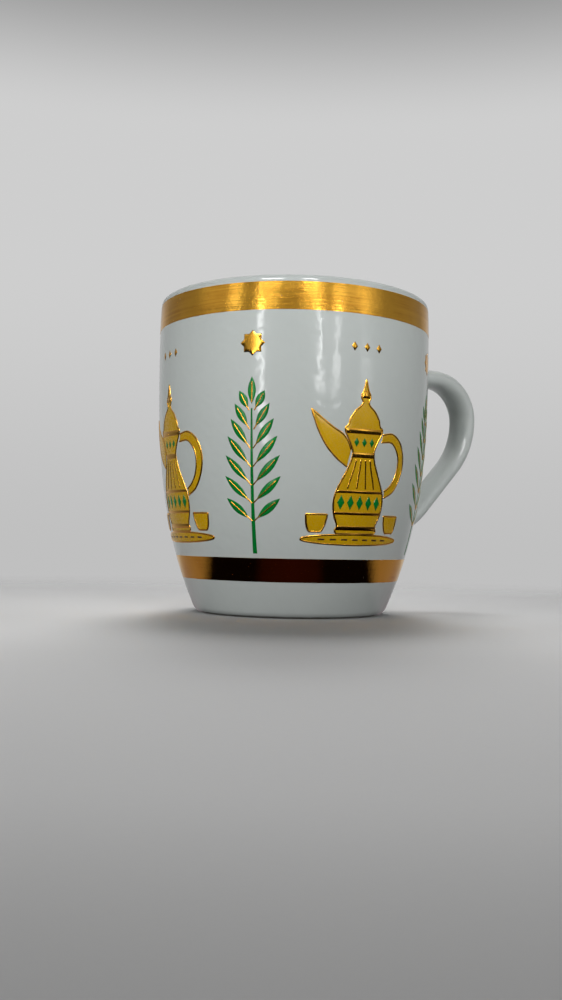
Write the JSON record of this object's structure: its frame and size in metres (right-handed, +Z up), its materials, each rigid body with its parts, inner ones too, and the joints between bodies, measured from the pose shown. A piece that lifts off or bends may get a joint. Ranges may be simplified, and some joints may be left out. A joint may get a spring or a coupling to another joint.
{
  "type": "coffee cup",
  "caption": "Barrel-shaped porcelain coffee cup with an ear handle, gold rim and base bands, and a printed frieze of coffee pots and leaf sprigs.",
  "frame": {"origin": "centre of the foot ring, on the cup's axis, in the plane that it stands on", "axes": "+Z up along the cup's axis, +X from the axis to the handle"},
  "size_m": [0.1001, 0.0752, 0.0855],
  "materials": {
    "porcelain": "cool white glaze, glossy",
    "luting_slip": "glazed over with the cup",
    "burnished_gold": "thin burnished gold, brushed on",
    "ochre_enamel": "fired on-glaze enamel",
    "green_enamel": "fired on-glaze enamel",
    "umber_enamel": "fired on-glaze enamel"
  },
  "bodies": {
    "root": {"cup_body": "porcelain", "handle": "porcelain", "upper_slip_joint": "luting_slip", "lower_slip_joint": "luting_slip", "rim_gold_band": "burnished_gold", "base_gold_band": "burnished_gold", "pot_ochre_print": "ochre_enamel", "pot_gold_print": "burnished_gold", "pot_green_print": "green_enamel", "tray_umber_print": "umber_enamel", "sprig_green_print": "green_enamel", "star_gold_print": "burnished_gold"}
  },
  "joints": []
}
